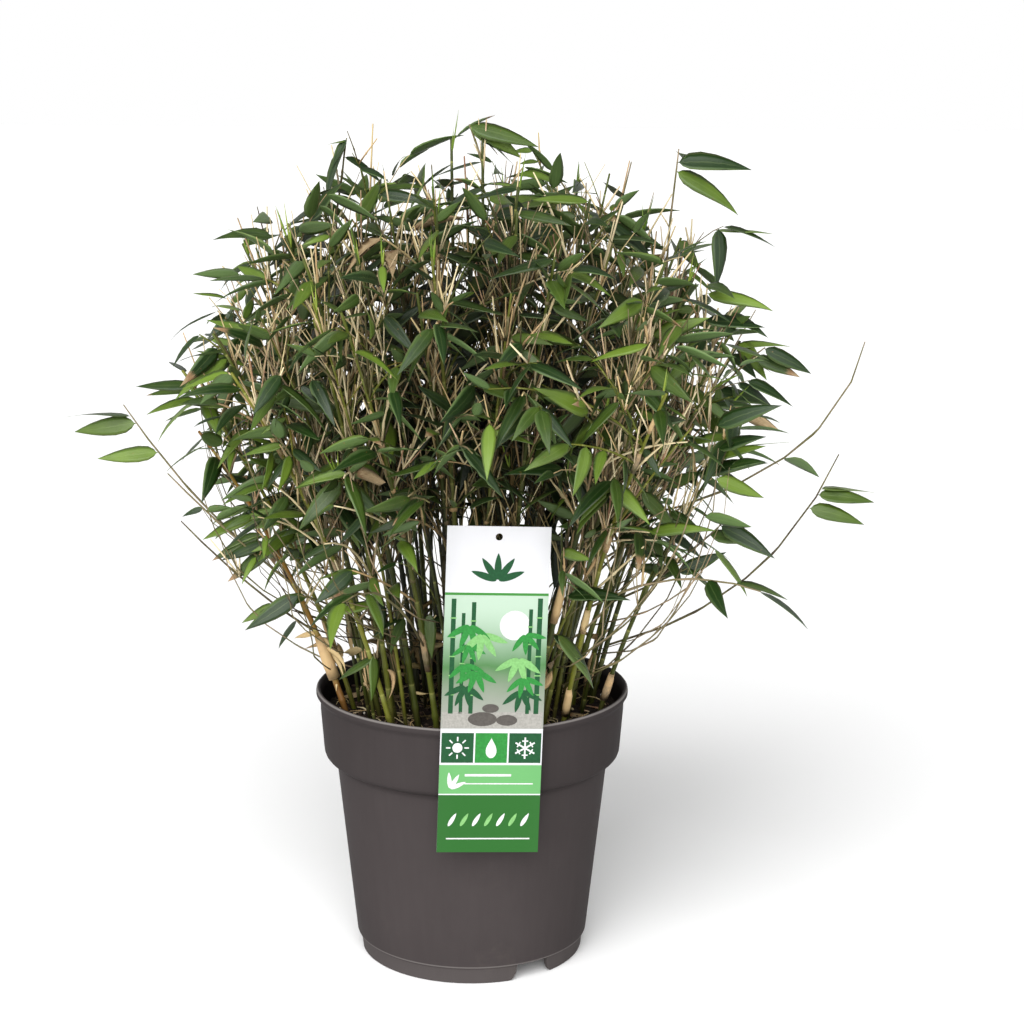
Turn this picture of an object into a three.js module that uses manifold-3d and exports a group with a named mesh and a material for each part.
// A potted moontears bamboo: leafy stems in soil, in a nursery pot of dark plastic with a card hung on its rim.
// Millimetres, +Z up. The origin is on the floor under the middle of the pot, and the card faces -Y.
import * as THREE from "three";
import { mergeVertices } from "three/addons/utils/BufferGeometryUtils.js";
import Module from "manifold-3d";

const wasm = await Module();
wasm.setup();

// Pot: a tapered body under a wide collar with a flared lip, on a foot ring in three stretches
const POT_SIDES = 36;
const POT_HEIGHT = 262;
const LIP_RADIUS = 150;
const COLLAR_RADIUS = 145.7;
const FOOT_HEIGHT = 17;
const FOOT_RADIUS = 107.6;
const WALL = 2;
const FLOOR_THICKNESS = 3;
// Radius and height along the pot's outer line, from under its floor to the lip
const POT_OUTSIDE = [
  [0, FOOT_HEIGHT],
  [104.4, FOOT_HEIGHT],
  [104.4, 0],
  [FOOT_RADIUS, 0],
  [109.2, FOOT_HEIGHT],
  [112.1, 18.6],
  [130.9, 192],
  [138.5, 195],
  [142.4, 200],
  [COLLAR_RADIUS, 240],
  [145.9, 251],
  [LIP_RADIUS, 257],
  [149.5, POT_HEIGHT],
  [146, POT_HEIGHT],
];
// The same along its inner line, from the floor up to just below the lip
const POT_INSIDE = [
  [109.3, FOOT_HEIGHT + FLOOR_THICKNESS],
  [128.9, 195],
  [140.4, 201],
  [141.7, 225],
  [COLLAR_RADIUS - WALL, 250],
];
const FOOT_GAPS = [32, 152, 272];
const FOOT_GAP_HALF = 17;
const FOOT_GAP_ROOF = 0.3;
// How much wider than at its top a gap in the foot is, at a height
const FOOT_GAP_FLARE = [
  [6, 0],
  [1.5, 5],
];
const DRAIN_HOLES = 6;
const DRAIN_RADIUS = 6;
const DRAIN_CIRCLE = 74;
const DRAIN_SIDES = 8;

// Soil: fills the pot to 25 mm below the lip, with a plain hole for each stem
const CLEARANCE = 0.35;
const SOIL_SIDES = 18;
const SOIL_HEIGHT = 237;
const SOIL_BUMP = 1.08;
const SOIL_WAVE = [0.083, 0.071];
const SOIL_RIPPLE = [0.19, 0.23];
const RIPPLE_SHARE = 0.6;
const SOIL_MOUND = 3;
const SOIL_EDGE_GAP = 1.4;
const SOIL_LIP = 4;
const SOIL_RINGS = [1, 0.86, 0.68, 0.48, 0.26, 0];
const HOLE_GAP = 0.5;
const STEM_DEPTH = 25;

// Card: a flat plastic card that hangs on the lip by a flap behind it
const CARD_WIDTH = 92.3;
const CARD_HEIGHT = 302;
const CARD_THICKNESS = 0.9;
const CARD_BOTTOM = 147;
const CARD_BOTTOM_X = -0.1;
const CARD_LEAN = 1.9;
const CARD_TURN = 5.3;
const CARD_HOLE_RADIUS = 3.2;
const CARD_HOLE_DROP = 9.5;
const FLAP_WIDTH = 22;
const FLAP_X = -2;
const FLAP_THICKNESS = 1;
const FLAP_INNER_Y = -140.4;
const FLAP_DROP = 18;
const FLAP_BITE = 0.4;
const HOLE_SEGMENTS = 10;

// Clump: stems stand in a spiral and lean out to the crown
const STEMS = 48;
const CLUMP_RADIUS = 120;
const STEM_RADIUS = 2.9;
const STEM_TIP_RADIUS = 1.3;
const STEM_SIDES = 4;
const STEM_STEPS = 5;
const CROWN_RADIUS = 283;
const CROWN_MIDDLE = 540;
const CROWN_RISE = 258;
const CROWN_FALL = 275;
const TOP_SLOPE = 1.55;
const GOLDEN_ANGLE = Math.PI * (3 - Math.sqrt(5));
const FOOT_SWAY = [-0.12, 0.12];
const SLOPE_SWAY = [-0.2, 0.2];
const TOP_SWAY = [-0.3, 0.3];
const STEM_REACH = [0.84, 0.97];
const STEM_GIRTH = [0.85, 1.15];
const STEM_BEND = 0.3;
const STEM_BEND_RISE = 0.55;
const TIP_LEAF_PLACES = [0.995, 0.955, 0.915];
const TIP_LEAF_TURN = 1.9;
const TIP_LEAF_SWAY = [-0.6, 0.6];

// Sprays: side twigs with leaves, spread evenly under the crown's outline
const SPRAYS = 46;
const TWIG_LENGTH = 80;
const TWIG_RADIUS = 1.15;
const TWIG_TIP_RADIUS = 0.9;
const TWIG_SIDES = 3;
const TWIG_STEPS = 2;
const SPRAY_DEPTH = [0.8, 0.93];
const TWIG_ARCH = [0.05, 0.2];
const SIDE_LEAF_TURN = [0.6, 1.1];
const PLACES_ON_STEM = 20;
const SPRAY_PLACES = [6, 17];
const SHOOT_PLACES = [4, 19];
const LEAST_RISE = 0.3;
const FLAT_COST = 150;
const SPRAY_COST = 22;
const SHOOT_STEPS = 4;
const SHOOT_COST = 10;
const LOWEST_SPRAY = -0.72;
const LEAF_PLACES = [0.4, 0.56, 0.71, 0.86, 0.99];
const LEAF_LENGTH = [44, 62];
const LEAF_WIDTH = [10, 14.5];
const LEAF_THICKNESS = 1.4;
const RIDGE_SHARE = 0.66;
const LOWER_SECTION = 0.28;
const UPPER_SECTION = 0.68;
const BLADE_SIDES = 3;
const WIDEST = 0.3;
const BLADE_TAPER = 1.4;
const LEAF_FALL = [-0.25, 0.65];
const TIP_LEAF_FALL = [-0.5, 0.5];
const LEAF_ROLL = [-0.7, 0.7];
const LEAF_DROOP = [0.04, 0.22];
const LEAF_TRIES = 14;
const STEM_TRIES = 40;
const STICK_RADIUS = 1.3;
const STICK_TIP_RADIUS = 0.6;
const STICK_EVERY = 2;
const STICK_PLACE = [0.45, 0.85];
const STICK_LEAN = [0.25, 0.6];
const STICK_LENGTH = [30, 70];
const STICK_TURN = [-3.14, 3.14];

// First numbers of the random series of tip leaves, sprays and sticks
const TIP_SERIES = 1000;
const SPRAY_SERIES = 5000;
const STICK_SERIES = 9000;

// A join is made again while it leaves an edge shorter than this
const SHORTEST_EDGE = 0.003;
const JOIN_TRIES = 40;
const JOIN_TURN = 0.13;
const JOIN_SWELL = 0.02;

// Long shoots that stand out of the crown. near: where the shoot leaves its stem, end: its tip, bend: how far
// along its run it turns and at what height, leaves: share of its length, azimuth, fall, roll and length
const LONG_SHOOTS = [
  {
    near: [-150, -10, 350],
    end: [-324, -20, 536],
    bend: [0.6, 425],
    leaves: [[0.79, 180, 6, 50, 59], [0.92, 177, 9, 68, 63], [0.95, 184, -8, 8, 62]],
  },
  {
    near: [140, 10, 300],
    end: [350, 20, 484],
    bend: [0.72, 335],
    leaves: [[0.81, -3, 11, -68, 57], [0.86, -2, 5, -48, 57], [0.88, 24, 2, -8, 62]],
  },
  {
    near: [175, -60, 600],
    end: [183, -60, 774],
    bend: [0.3, 700],
    leaves: [[0.92, 0, -2, -55, 68], [0.87, -8, 25, -50, 68], [0.98, 70, 10, -20, 50]],
  },
  {
    near: [120, 60, 420],
    end: [380, 70, 586],
    bend: [0.9, 448],
    leaves: [[0.5, 40, 20, 20, 52]],
  },
  {
    near: [-30, -130, 330],
    end: [-105, -312, 420],
    bend: [0.5, 425],
    leaves: [[0.7, -70, 25, 30, 50], [0.85, -140, 12, 10, 52], [0.99, -105, 20, -10, 54]],
  },
  {
    near: [40, 130, 380],
    end: [85, 318, 500],
    bend: [0.5, 480],
    leaves: [[0.7, 40, 25, 30, 54], [0.85, 120, 12, 10, 56], [0.99, 80, 20, -10, 58]],
  },
  {
    near: [-110, 90, 330],
    end: [-235, 210, 380],
    bend: [0.5, 400],
    leaves: [[0.7, 110, 25, 30, 50], [0.85, 190, 12, 10, 54], [0.99, 140, 20, -10, 54]],
  },
  {
    near: [110, -100, 360],
    end: [250, -190, 400],
    bend: [0.5, 420],
    leaves: [[0.7, -80, 25, -30, 50], [0.85, 10, 12, -10, 54], [0.99, -35, 20, 10, 54]],
  },
];
const SHOOT_LEAF_SLIMNESS = 4;
const SHOOT_LEAF_DROOP = 0.1;

const RADIANS = Math.PI / 180;
const WELD = 1e-4;
const NEARLY = 0.01;

const potPlastic = new THREE.MeshStandardMaterial({ color: 0x544e4e, roughness: 0.5, metalness: 0 });
const compost = new THREE.MeshStandardMaterial({ color: 0x2a211b, roughness: 1, metalness: 0 });
const cardPlastic = new THREE.MeshStandardMaterial({ color: 0x88d087, roughness: 0.4, metalness: 0 });
const foliage = new THREE.MeshStandardMaterial({ color: 0x5d6d43, roughness: 0.6, metalness: 0 });

// Repeatable random draws: each stem and each spray has a series of its own
function randomSeries(number) {
  let state = (number * 2654435761) % 4294967296;
  return (low, high) => {
    state = (state * 1664525 + 1013904223) % 4294967296;
    return low + ((high - low) * state) / 4294967296;
  };
}

function polar(radius, azimuth, height) {
  return new THREE.Vector3(radius * Math.cos(azimuth), radius * Math.sin(azimuth), height);
}

// Solids from three.js geometries, and back
function solidOf(geometry) {
  const bare = geometry.clone();
  bare.deleteAttribute("normal");
  bare.deleteAttribute("uv");
  const merged = mergeVertices(bare, WELD);
  const mesh = new wasm.Mesh({
    numProp: 3,
    vertProperties: new Float32Array(merged.attributes.position.array),
    triVerts: new Uint32Array(merged.index.array),
  });
  const solid = new wasm.Manifold(mesh);
  if (solid.volume() <= 0) throw new Error("a solid is inside out");
  return solid;
}

function geometryOf(solid) {
  const mesh = solid.getMesh();
  const geometry = new THREE.BufferGeometry();
  geometry.setAttribute("position", new THREE.BufferAttribute(mesh.vertProperties, 3));
  geometry.setIndex(new THREE.BufferAttribute(mesh.triVerts, 1));
  const flat = geometry.toNonIndexed();
  flat.computeVertexNormals();
  return flat;
}

function piece(name, solid, material) {
  const mesh = new THREE.Mesh(geometryOf(solid), material);
  mesh.name = name;
  return mesh;
}

function turned(profile, sides) {
  const points = profile.map(([radius, height]) => new THREE.Vector2(radius, height));
  return new THREE.LatheGeometry(points, sides).rotateX(Math.PI / 2);
}

// A four-sided block through the foot ring, wider towards the floor
function footGap(azimuth) {
  const roof = FOOT_HEIGHT - FOOT_GAP_ROOF;
  const corner = (flare) => (FOOT_GAP_HALF + flare) * Math.SQRT2;
  const below = FOOT_GAP_FLARE[0][0];
  const flared = FOOT_GAP_FLARE.map(([flare, height]) => [corner(flare), height]);
  const profile = [[0, -below], [corner(below), -below], ...flared, [corner(0), roof], [0, roof]];
  return turned(profile, 4)
    .rotateZ(Math.PI / 4)
    .translate(0, -FOOT_RADIUS, 0)
    .rotateZ(azimuth * RADIANS);
}

function makePot() {
  const inside = [...POT_INSIDE].reverse();
  const profile = [...POT_OUTSIDE, ...inside, [0, FOOT_HEIGHT + FLOOR_THICKNESS]];
  let pot = solidOf(turned(profile, POT_SIDES));
  for (const azimuth of FOOT_GAPS) pot = pot.subtract(solidOf(footGap(azimuth)));
  for (let hole = 0; hole < DRAIN_HOLES; hole += 1) {
    const drain = new THREE.CylinderGeometry(DRAIN_RADIUS, DRAIN_RADIUS, 4 * FLOOR_THICKNESS, DRAIN_SIDES)
      .rotateX(Math.PI / 2)
      .translate(DRAIN_CIRCLE, 0, FOOT_HEIGHT + FLOOR_THICKNESS / 2)
      .rotateZ((hole / DRAIN_HOLES) * 2 * Math.PI);
    pot = pot.subtract(solidOf(drain));
  }
  return piece("pot", pot, potPlastic);
}

// Uneven soil: low where a slow wave falls, and a little higher in the middle
function soilTop(x, y) {
  const wave = Math.sin(x * SOIL_WAVE[0] + 1) * Math.cos(y * SOIL_WAVE[1] - 1);
  const ripple = Math.sin(x * SOIL_RIPPLE[0] + y * SOIL_RIPPLE[1]);
  const mound = Math.max(0, 1 - Math.hypot(x, y) / CLUMP_RADIUS);
  return SOIL_HEIGHT + SOIL_BUMP * (wave + RIPPLE_SHARE * ripple) + SOIL_MOUND * mound;
}

function makeSoil(stems) {
  const covered = POT_INSIDE.filter(([, height]) => height < SOIL_HEIGHT - SOIL_LIP);
  const wall = covered.map(([radius, height]) => [radius - CLEARANCE, height + CLEARANCE]);
  const edge = COLLAR_RADIUS - WALL - CLEARANCE - SOIL_EDGE_GAP;
  const profile = [[0, wall[0][1]], ...wall, ...SOIL_RINGS.map((share) => [share * edge, SOIL_HEIGHT])];
  const body = turned(profile, SOIL_SIDES);
  const at = body.attributes.position;
  for (let i = 0; i < at.count; i += 1) {
    const radius = Math.hypot(at.getX(i), at.getY(i));
    const surface = Math.abs(at.getZ(i) - SOIL_HEIGHT) < NEARLY;
    const rise = radius < 1 ? soilTop(0, 0) : soilTop(at.getX(i), at.getY(i));
    if (surface) at.setZ(i, rise);
  }
  let soil = solidOf(body);
  for (const stem of stems) {
    const hole = bentRod(stem.arc, stem.radius + HOLE_GAP, stem.tip + HOLE_GAP, STEM_SIDES, 0, HOLE_GAP);
    soil = soil.subtract(solidOf(hole));
  }
  return piece("soil", soil, compost);
}

function makeCard() {
  const half = CARD_WIDTH / 2;
  const outline = new THREE.Shape([
    new THREE.Vector2(-half, 0),
    new THREE.Vector2(half, 0),
    new THREE.Vector2(half, CARD_HEIGHT),
    new THREE.Vector2(-half, CARD_HEIGHT),
  ]);
  const hole = new THREE.Path().absarc(0, CARD_HEIGHT - CARD_HOLE_DROP, CARD_HOLE_RADIUS, 0, 2 * Math.PI);
  outline.holes.push(hole);
  const back = -(LIP_RADIUS + CLEARANCE);
  const card = new THREE.ExtrudeGeometry(outline, { depth: CARD_THICKNESS, bevelEnabled: false, curveSegments: HOLE_SEGMENTS })
    .rotateX(Math.PI / 2)
    .translate(0, back, 0)
    .rotateY(CARD_LEAN * RADIANS)
    .translate(CARD_BOTTOM_X, 0, CARD_BOTTOM);
  const over = POT_HEIGHT + CLEARANCE;
  const bridge = FLAP_INNER_Y - back;
  const bridgeBox = new THREE.BoxGeometry(FLAP_WIDTH, bridge + FLAP_BITE, FLAP_THICKNESS)
    .translate(FLAP_X, back + (bridge - FLAP_BITE) / 2, over + FLAP_THICKNESS / 2);
  const dropBox = new THREE.BoxGeometry(FLAP_WIDTH, FLAP_THICKNESS, FLAP_DROP)
    .translate(FLAP_X, FLAP_INNER_Y - FLAP_THICKNESS / 2, over + FLAP_THICKNESS - FLAP_DROP / 2);
  const label = solidOf(card).add(solidOf(bridgeBox)).add(solidOf(dropBox));
  return piece("label", label.rotate([0, 0, CARD_TURN]), cardPlastic);
}

// A stem or twig is an arc in an upright plane: a quadratic curve from start over bend to end, in straight steps
function uprightArc(start, end, share, height, steps) {
  const bend = new THREE.Vector3().lerpVectors(start, end, share);
  bend.z = height;
  const azimuth = Math.atan2(end.y - start.y, end.x - start.x);
  const side = new THREE.Vector3(-Math.sin(azimuth), Math.cos(azimuth), 0);
  return { start, bend, end, azimuth, side, steps };
}

function curvePoint(arc, t) {
  const s = 1 - t;
  return new THREE.Vector3()
    .addScaledVector(arc.start, s * s)
    .addScaledVector(arc.bend, 2 * s * t)
    .addScaledVector(arc.end, t * t);
}

// What grows on an arc is rooted on its straight steps
function pointOn(arc, t) {
  const step = Math.min(Math.floor(t * arc.steps), arc.steps - 1);
  const from = curvePoint(arc, step / arc.steps);
  const to = curvePoint(arc, (step + 1) / arc.steps);
  return from.lerp(to, t * arc.steps - step);
}

function tangentOn(arc, t) {
  return new THREE.Vector3()
    .addScaledVector(arc.start, t - 1)
    .addScaledVector(arc.bend, 1 - 2 * t)
    .addScaledVector(arc.end, t)
    .normalize();
}

// A tapered rod along an arc, run on past its foot by a little where it cuts a hole
function bentRod(arc, footRadius, tipRadius, sides, turn = 0, extra = 0) {
  const rod = new THREE.CylinderGeometry(1, 1, 1, sides, arc.steps, false, turn);
  const at = rod.attributes.position;
  for (let i = 0; i < at.count; i += 1) {
    const t = at.getY(i) + 0.5;
    const radius = footRadius + (tipRadius - footRadius) * t;
    const centre = curvePoint(arc, t);
    const tangent = tangentOn(arc, t);
    const front = new THREE.Vector3().crossVectors(arc.side, tangent);
    if (t < NEARLY) centre.addScaledVector(tangent, -extra);
    centre.addScaledVector(arc.side, radius * at.getX(i)).addScaledVector(front, radius * at.getZ(i));
    at.setXYZ(i, centre.x, centre.y, centre.z);
  }
  return rod;
}

// A blade: an arched midrib with two cross-sections, flat below and ridged above along the rib
function bladePoint(leaf, share) {
  return leaf.root
    .clone()
    .addScaledVector(leaf.along, share * leaf.length)
    .addScaledVector(leaf.normal, -leaf.droop * share * share * leaf.length);
}

function bladeHalfWidth(leaf, share) {
  const shape = share < WIDEST ? share / WIDEST : 1 - ((share - WIDEST) / (1 - WIDEST)) ** BLADE_TAPER;
  return (leaf.width / 2) * shape;
}

function bladeGeometry(leaf, thickness) {
  const blade = new THREE.SphereGeometry(1, BLADE_SIDES, 3);
  const at = blade.attributes.position;
  const across = new THREE.Vector3().crossVectors(leaf.along, leaf.normal);
  for (let i = 0; i < at.count; i += 1) {
    const [x, y, z] = [at.getX(i), at.getY(i), at.getZ(i)];
    const ring = Math.hypot(x, z);
    const end = ring < NEARLY;
    const share = end ? (y < 0 ? 0 : 1) : y < 0 ? LOWER_SECTION : UPPER_SECTION;
    const spot = bladePoint(leaf, share);
    if (!end) {
      spot.addScaledVector(across, (bladeHalfWidth(leaf, share) * z) / (ring * Math.sin(Math.PI / BLADE_SIDES)));
      spot.addScaledVector(leaf.normal, (-x / ring) * thickness * RIDGE_SHARE);
    }
    at.setXYZ(i, spot.x, spot.y, spot.z);
  }
  return blade;
}

// Balls that stand for the room that each stem takes, so that no other stem is grown through it
const CELL = 14;
const ROOM = 0.8;
const CARD_ROOM = 10;
const CARD_VIEW_RISE = 0.22;
const RIM_ROOM = 15.3;
const RIM_RISE = 3;
const SOIL_RISE = 8;
const ROD_BALL_STEP = 4;
const BLADE_BALL_STEPS = 14;
const BLADE_LANES = [-0.62, 0, 0.62];
const BLADE_BALL_RADIUS = 1;
const taken = new Map();

function cellOf(value) {
  return Math.floor(value / CELL);
}

function take(balls) {
  for (const ball of balls) {
    const key = `${cellOf(ball.x)},${cellOf(ball.y)},${cellOf(ball.z)}`;
    if (!taken.has(key)) taken.set(key, []);
    taken.get(key).push(ball);
  }
}

function touchesOther(ball) {
  for (let i = cellOf(ball.x) - 1; i <= cellOf(ball.x) + 1; i += 1)
    for (let j = cellOf(ball.y) - 1; j <= cellOf(ball.y) + 1; j += 1)
      for (let k = cellOf(ball.z) - 1; k <= cellOf(ball.z) + 1; k += 1)
        for (const other of taken.get(`${i},${j},${k}`) ?? []) {
          const reach = ball.radius + other.radius + ROOM;
          const near = (ball.x - other.x) ** 2 + (ball.y - other.y) ** 2 + (ball.z - other.z) ** 2;
          if (other.stem !== ball.stem && near < reach * reach) return true;
        }
  return false;
}

// Stems keep off the card and don't hang in front of it, and their twigs and leaves keep off the lip and the soil too
function touchesCard(ball) {
  const along = CARD_BOTTOM_X + (CARD_HEIGHT / 2) * Math.sin(CARD_LEAN * RADIANS);
  const out = LIP_RADIUS + CLEARANCE;
  const middle = along * Math.cos(CARD_TURN * RADIANS) + out * Math.sin(CARD_TURN * RADIANS);
  const aside = Math.abs(ball.x - middle) > CARD_WIDTH / 2 + CARD_ROOM;
  const behind = ball.y > CARD_ROOM - LIP_RADIUS;
  const inFront = Math.max(0, -LIP_RADIUS - ball.y);
  const top = CARD_BOTTOM + CARD_HEIGHT + CARD_ROOM + CARD_VIEW_RISE * inFront;
  return !aside && !behind && ball.z - ball.radius < top;
}

function touchesPot(ball) {
  const low = ball.z - ball.radius;
  const overRim = Math.hypot(ball.x, ball.y) > COLLAR_RADIUS - RIM_ROOM;
  return low < (overRim ? POT_HEIGHT + RIM_RISE : SOIL_HEIGHT + SOIL_RISE);
}

function blocked(ball) {
  return touchesCard(ball) || touchesPot(ball) || touchesOther(ball);
}

function rodBalls(stem, arc, radius) {
  const length = arc.start.distanceTo(arc.end);
  const steps = Math.ceil(length / ROD_BALL_STEP);
  const balls = [];
  for (let step = 0; step <= steps; step += 1) {
    const t = step / steps;
    const { x, y, z } = pointOn(arc, t);
    balls.push({ x, y, z, radius, stem });
  }
  return balls;
}

function bladeBalls(stem, leaf) {
  const across = new THREE.Vector3().crossVectors(leaf.along, leaf.normal);
  const balls = [];
  for (let step = 1; step <= BLADE_BALL_STEPS; step += 1) {
    const share = step / BLADE_BALL_STEPS;
    const halfWidth = bladeHalfWidth(leaf, share);
    for (const lane of BLADE_LANES) {
      const { x, y, z } = bladePoint(leaf, share).addScaledVector(across, lane * halfWidth);
      balls.push({ x, y, z, radius: halfWidth / BLADE_LANES.length + BLADE_BALL_RADIUS, stem });
    }
  }
  return balls;
}

// Leaf from its root, azimuth and fall below level, rolled about its rib
function makeLeaf(root, azimuth, fall, roll, length, width, droop) {
  const along = new THREE.Vector3(
    Math.cos(azimuth) * Math.cos(fall),
    Math.sin(azimuth) * Math.cos(fall),
    -Math.sin(fall),
  );
  const level = new THREE.Vector3(-Math.sin(azimuth), Math.cos(azimuth), 0);
  const above = new THREE.Vector3().crossVectors(along, level);
  const normal = above.multiplyScalar(Math.cos(roll)).addScaledVector(level, Math.sin(roll));
  return { root, along, normal, length, width, droop };
}

function drawLeaf(root, azimuth, fall, series) {
  return makeLeaf(
    root,
    azimuth,
    series(...fall),
    series(...LEAF_ROLL),
    series(...LEAF_LENGTH),
    series(...LEAF_WIDTH),
    series(...LEAF_DROOP),
  );
}

// Culms: upright at the foot, and bowed out to their place under the crown's outline, less with each try
function culmArc(index, attempt, series) {
  const spread = Math.sqrt((index + 0.5) / STEMS);
  const azimuth = index * GOLDEN_ANGLE + series(...FOOT_SWAY);
  const slope = spread * TOP_SLOPE * (1 - attempt / STEM_TRIES) + series(...SLOPE_SWAY);
  const reach = series(...STEM_REACH);
  const foot = polar(CLUMP_RADIUS * spread, azimuth, SOIL_HEIGHT - STEM_DEPTH);
  const top = polar(
    CROWN_RADIUS * reach * Math.sin(slope),
    azimuth + series(...TOP_SWAY),
    CROWN_MIDDLE + CROWN_RISE * reach * Math.cos(slope),
  );
  return uprightArc(foot, top, STEM_BEND, foot.z + STEM_BEND_RISE * (top.z - foot.z), STEM_STEPS);
}

function growStem(index) {
  const series = randomSeries(index + 1);
  for (let attempt = 0; attempt < STEM_TRIES; attempt += 1) {
    const arc = culmArc(index, attempt, series);
    const radius = STEM_RADIUS * series(...STEM_GIRTH);
    const stem = { index, arc, radius, tip: STEM_TIP_RADIUS, twigs: [], leaves: [], sticks: [], sprays: 0 };
    const balls = rodBalls(index, arc, radius);
    if (balls.some((ball) => touchesCard(ball) || touchesOther(ball))) continue;
    take(balls);
    return stem;
  }
  throw new Error(`stem ${index} finds no free place`);
}

// The tip of each culm carries leaves of its own
function leafTip(stem) {
  const series = randomSeries(TIP_SERIES + stem.index);
  TIP_LEAF_PLACES.forEach((share, order) => {
    for (let attempt = 0; attempt < LEAF_TRIES; attempt += 1) {
      const azimuth = stem.arc.azimuth + (order - 1) * TIP_LEAF_TURN + series(...TIP_LEAF_SWAY);
      const leaf = drawLeaf(pointOn(stem.arc, share), azimuth, TIP_LEAF_FALL, series);
      const balls = bladeBalls(stem.index, leaf);
      if (balls.some(blocked)) continue;
      take(balls);
      stem.leaves.push(leaf);
      return;
    }
  });
}

// The stems that can carry a spray, best first: near, below it, and not yet laden
function supportsFor(target, stems) {
  const found = [];
  for (const stem of stems)
    for (let step = SPRAY_PLACES[0]; step <= SPRAY_PLACES[1]; step += 1) {
      const from = pointOn(stem.arc, step / PLACES_ON_STEM);
      const run = from.distanceTo(target);
      const rise = (target.z - from.z) / run;
      const flat = Math.max(0, LEAST_RISE - rise);
      const cost = Math.abs(run - TWIG_LENGTH) + FLAT_COST * flat + SPRAY_COST * stem.sprays;
      found.push({ stem, from, cost });
    }
  return found.sort((one, other) => one.cost - other.cost).slice(0, LEAF_TRIES);
}

// A twig with leaves by turns on its left and right and one at its tip, where all of it is clear
function placeTwig(stem, arc, leaves) {
  const balls = rodBalls(stem.index, arc, TWIG_RADIUS);
  if (balls.some(blocked)) return false;
  const clear = [];
  for (const leaf of leaves) {
    const around = bladeBalls(stem.index, leaf);
    if (!around.some(blocked)) clear.push({ leaf, around });
  }
  if (clear.length < Math.max(1, leaves.length - 1)) return false;
  take(balls);
  stem.twigs.push(arc);
  for (const { leaf, around } of clear) {
    take(around);
    stem.leaves.push(leaf);
  }
  stem.sprays += 1;
  return true;
}

function growSpray(number, stems) {
  const series = randomSeries(SPRAY_SERIES + number);
  const cosine = 1 - ((1 - LOWEST_SPRAY) * (number + 0.5)) / SPRAYS;
  const sine = Math.sqrt(1 - cosine * cosine);
  const depth = series(...SPRAY_DEPTH);
  const tall = cosine > 0 ? CROWN_RISE : CROWN_FALL;
  const target = polar(
    CROWN_RADIUS * depth * sine,
    number * GOLDEN_ANGLE,
    CROWN_MIDDLE + tall * depth * cosine,
  );
  for (const { stem, from } of supportsFor(target, stems)) {
    const run = from.distanceTo(target);
    const arch = (from.z + target.z) / 2 + series(...TWIG_ARCH) * run;
    const arc = uprightArc(from, target, 0.5, arch, TWIG_STEPS);
    const first = series(0, 1) < 0.5 ? -1 : 1;
    const leaves = LEAF_PLACES.map((share, order) => {
      const side = order === LEAF_PLACES.length - 1 ? 0 : first * (order % 2 === 0 ? 1 : -1);
      return drawLeaf(pointOn(arc, share), arc.azimuth + side * series(...SIDE_LEAF_TURN), LEAF_FALL, series);
    });
    if (placeTwig(stem, arc, leaves)) return true;
  }
  return false;
}

function growLongShoot(shoot, stems) {
  const near = new THREE.Vector3(...shoot.near);
  const end = new THREE.Vector3(...shoot.end);
  const found = [];
  for (const stem of stems)
    for (let step = SHOOT_PLACES[0]; step <= SHOOT_PLACES[1]; step += 1) {
      const from = pointOn(stem.arc, step / PLACES_ON_STEM);
      found.push({ stem, from, cost: from.distanceTo(near) + SHOOT_COST * stem.sprays });
    }
  found.sort((one, other) => one.cost - other.cost);
  for (const { stem, from } of found.slice(0, 3 * LEAF_TRIES)) {
    const arc = uprightArc(from, end, shoot.bend[0], shoot.bend[1], SHOOT_STEPS);
    const leaves = shoot.leaves.map(([share, azimuth, fall, roll, length]) => {
      const [turn, dip, tilt] = [azimuth * RADIANS, fall * RADIANS, roll * RADIANS];
      return makeLeaf(pointOn(arc, share), turn, dip, tilt, length, length / SHOOT_LEAF_SLIMNESS, SHOOT_LEAF_DROOP);
    });
    if (placeTwig(stem, arc, leaves)) return;
  }
  throw new Error(`the shoot to ${shoot.end} finds no free way`);
}

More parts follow.
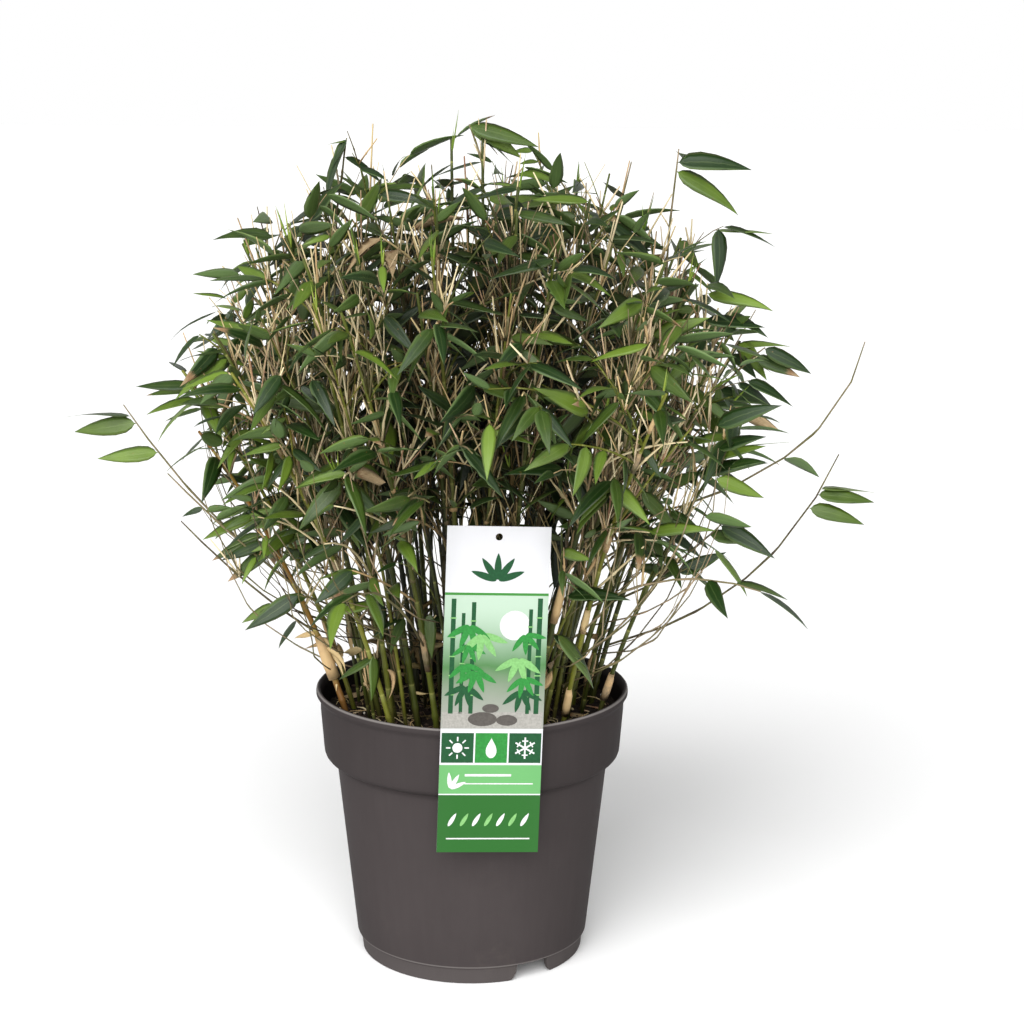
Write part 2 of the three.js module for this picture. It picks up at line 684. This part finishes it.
// Dry side shoots, short and straw-like, stand up from the culms' joints
function growStick(stem) {
  const series = randomSeries(STICK_SERIES + stem.index);
  for (let attempt = 0; attempt < LEAF_TRIES; attempt += 1) {
    const start = pointOn(stem.arc, series(...STICK_PLACE));
    const lean = series(...STICK_LEAN);
    const length = series(...STICK_LENGTH);
    const rise = polar(length * Math.sin(lean), series(...STICK_TURN), length * Math.cos(lean));
    const end = start.clone().add(rise);
    const arc = uprightArc(start, end, 0.5, (start.z + end.z) / 2, 1);
    const balls = rodBalls(stem.index, arc, STICK_RADIUS);
    if (balls.some(blocked)) continue;
    take(balls);
    stem.sticks.push(arc);
    return;
  }
}

function shortestEdge(solid) {
  const { vertProperties: at, triVerts } = solid.getMesh();
  let shortest = Infinity;
  triVerts.forEach((corner, i) => {
    const [a, b] = [3 * corner, 3 * triVerts[i % 3 === 2 ? i - 2 : i + 1]];
    shortest = Math.min(shortest, Math.hypot(at[a] - at[b], at[a + 1] - at[b + 1], at[a + 2] - at[b + 2]));
  });
  return shortest;
}

// Culm, twigs, dry shoots and blades joined in one solid. Where a join leaves an edge too short to keep,
// it is made again with the twigs turned a little about their own line and the blades a hair thicker
function makeStem(stem) {
  const culm = bentRod(stem.arc, stem.radius, stem.tip, STEM_SIDES);
  for (let attempt = 0; attempt < JOIN_TRIES; attempt += 1) {
    const turn = attempt * JOIN_TURN;
    const thickness = LEAF_THICKNESS * (1 + attempt * JOIN_SWELL);
    const blades = stem.leaves.map((leaf) => bladeGeometry(leaf, thickness));
    const twigs = stem.twigs.map((arc) => bentRod(arc, TWIG_RADIUS, TWIG_TIP_RADIUS, TWIG_SIDES, turn));
    const sticks = stem.sticks.map((arc) => bentRod(arc, STICK_RADIUS, STICK_TIP_RADIUS, TWIG_SIDES, turn));
    const whole = wasm.Manifold.union([culm, ...twigs, ...sticks, ...blades].map(solidOf));
    const name = `stem_${String(stem.index + 1).padStart(2, "0")}`;
    if (shortestEdge(whole) > SHORTEST_EDGE) return piece(name, whole, foliage);
  }
  throw new Error(`stem ${stem.index} doesn't join cleanly`);
}

function growClump() {
  const stems = [];
  for (let index = 0; index < STEMS; index += 1) stems.push(growStem(index));
  for (const shoot of LONG_SHOOTS) growLongShoot(shoot, stems);
  for (const stem of stems) leafTip(stem);
  for (let number = 0; number < SPRAYS; number += 1) growSpray(number, stems);
  for (const stem of stems) if (stem.index % STICK_EVERY === 0) growStick(stem);
  return stems;
}

const plant = new THREE.Group();
const stems = growClump();
plant.add(makePot(), makeSoil(stems), makeCard());
for (const stem of stems) plant.add(makeStem(stem));

export default plant;
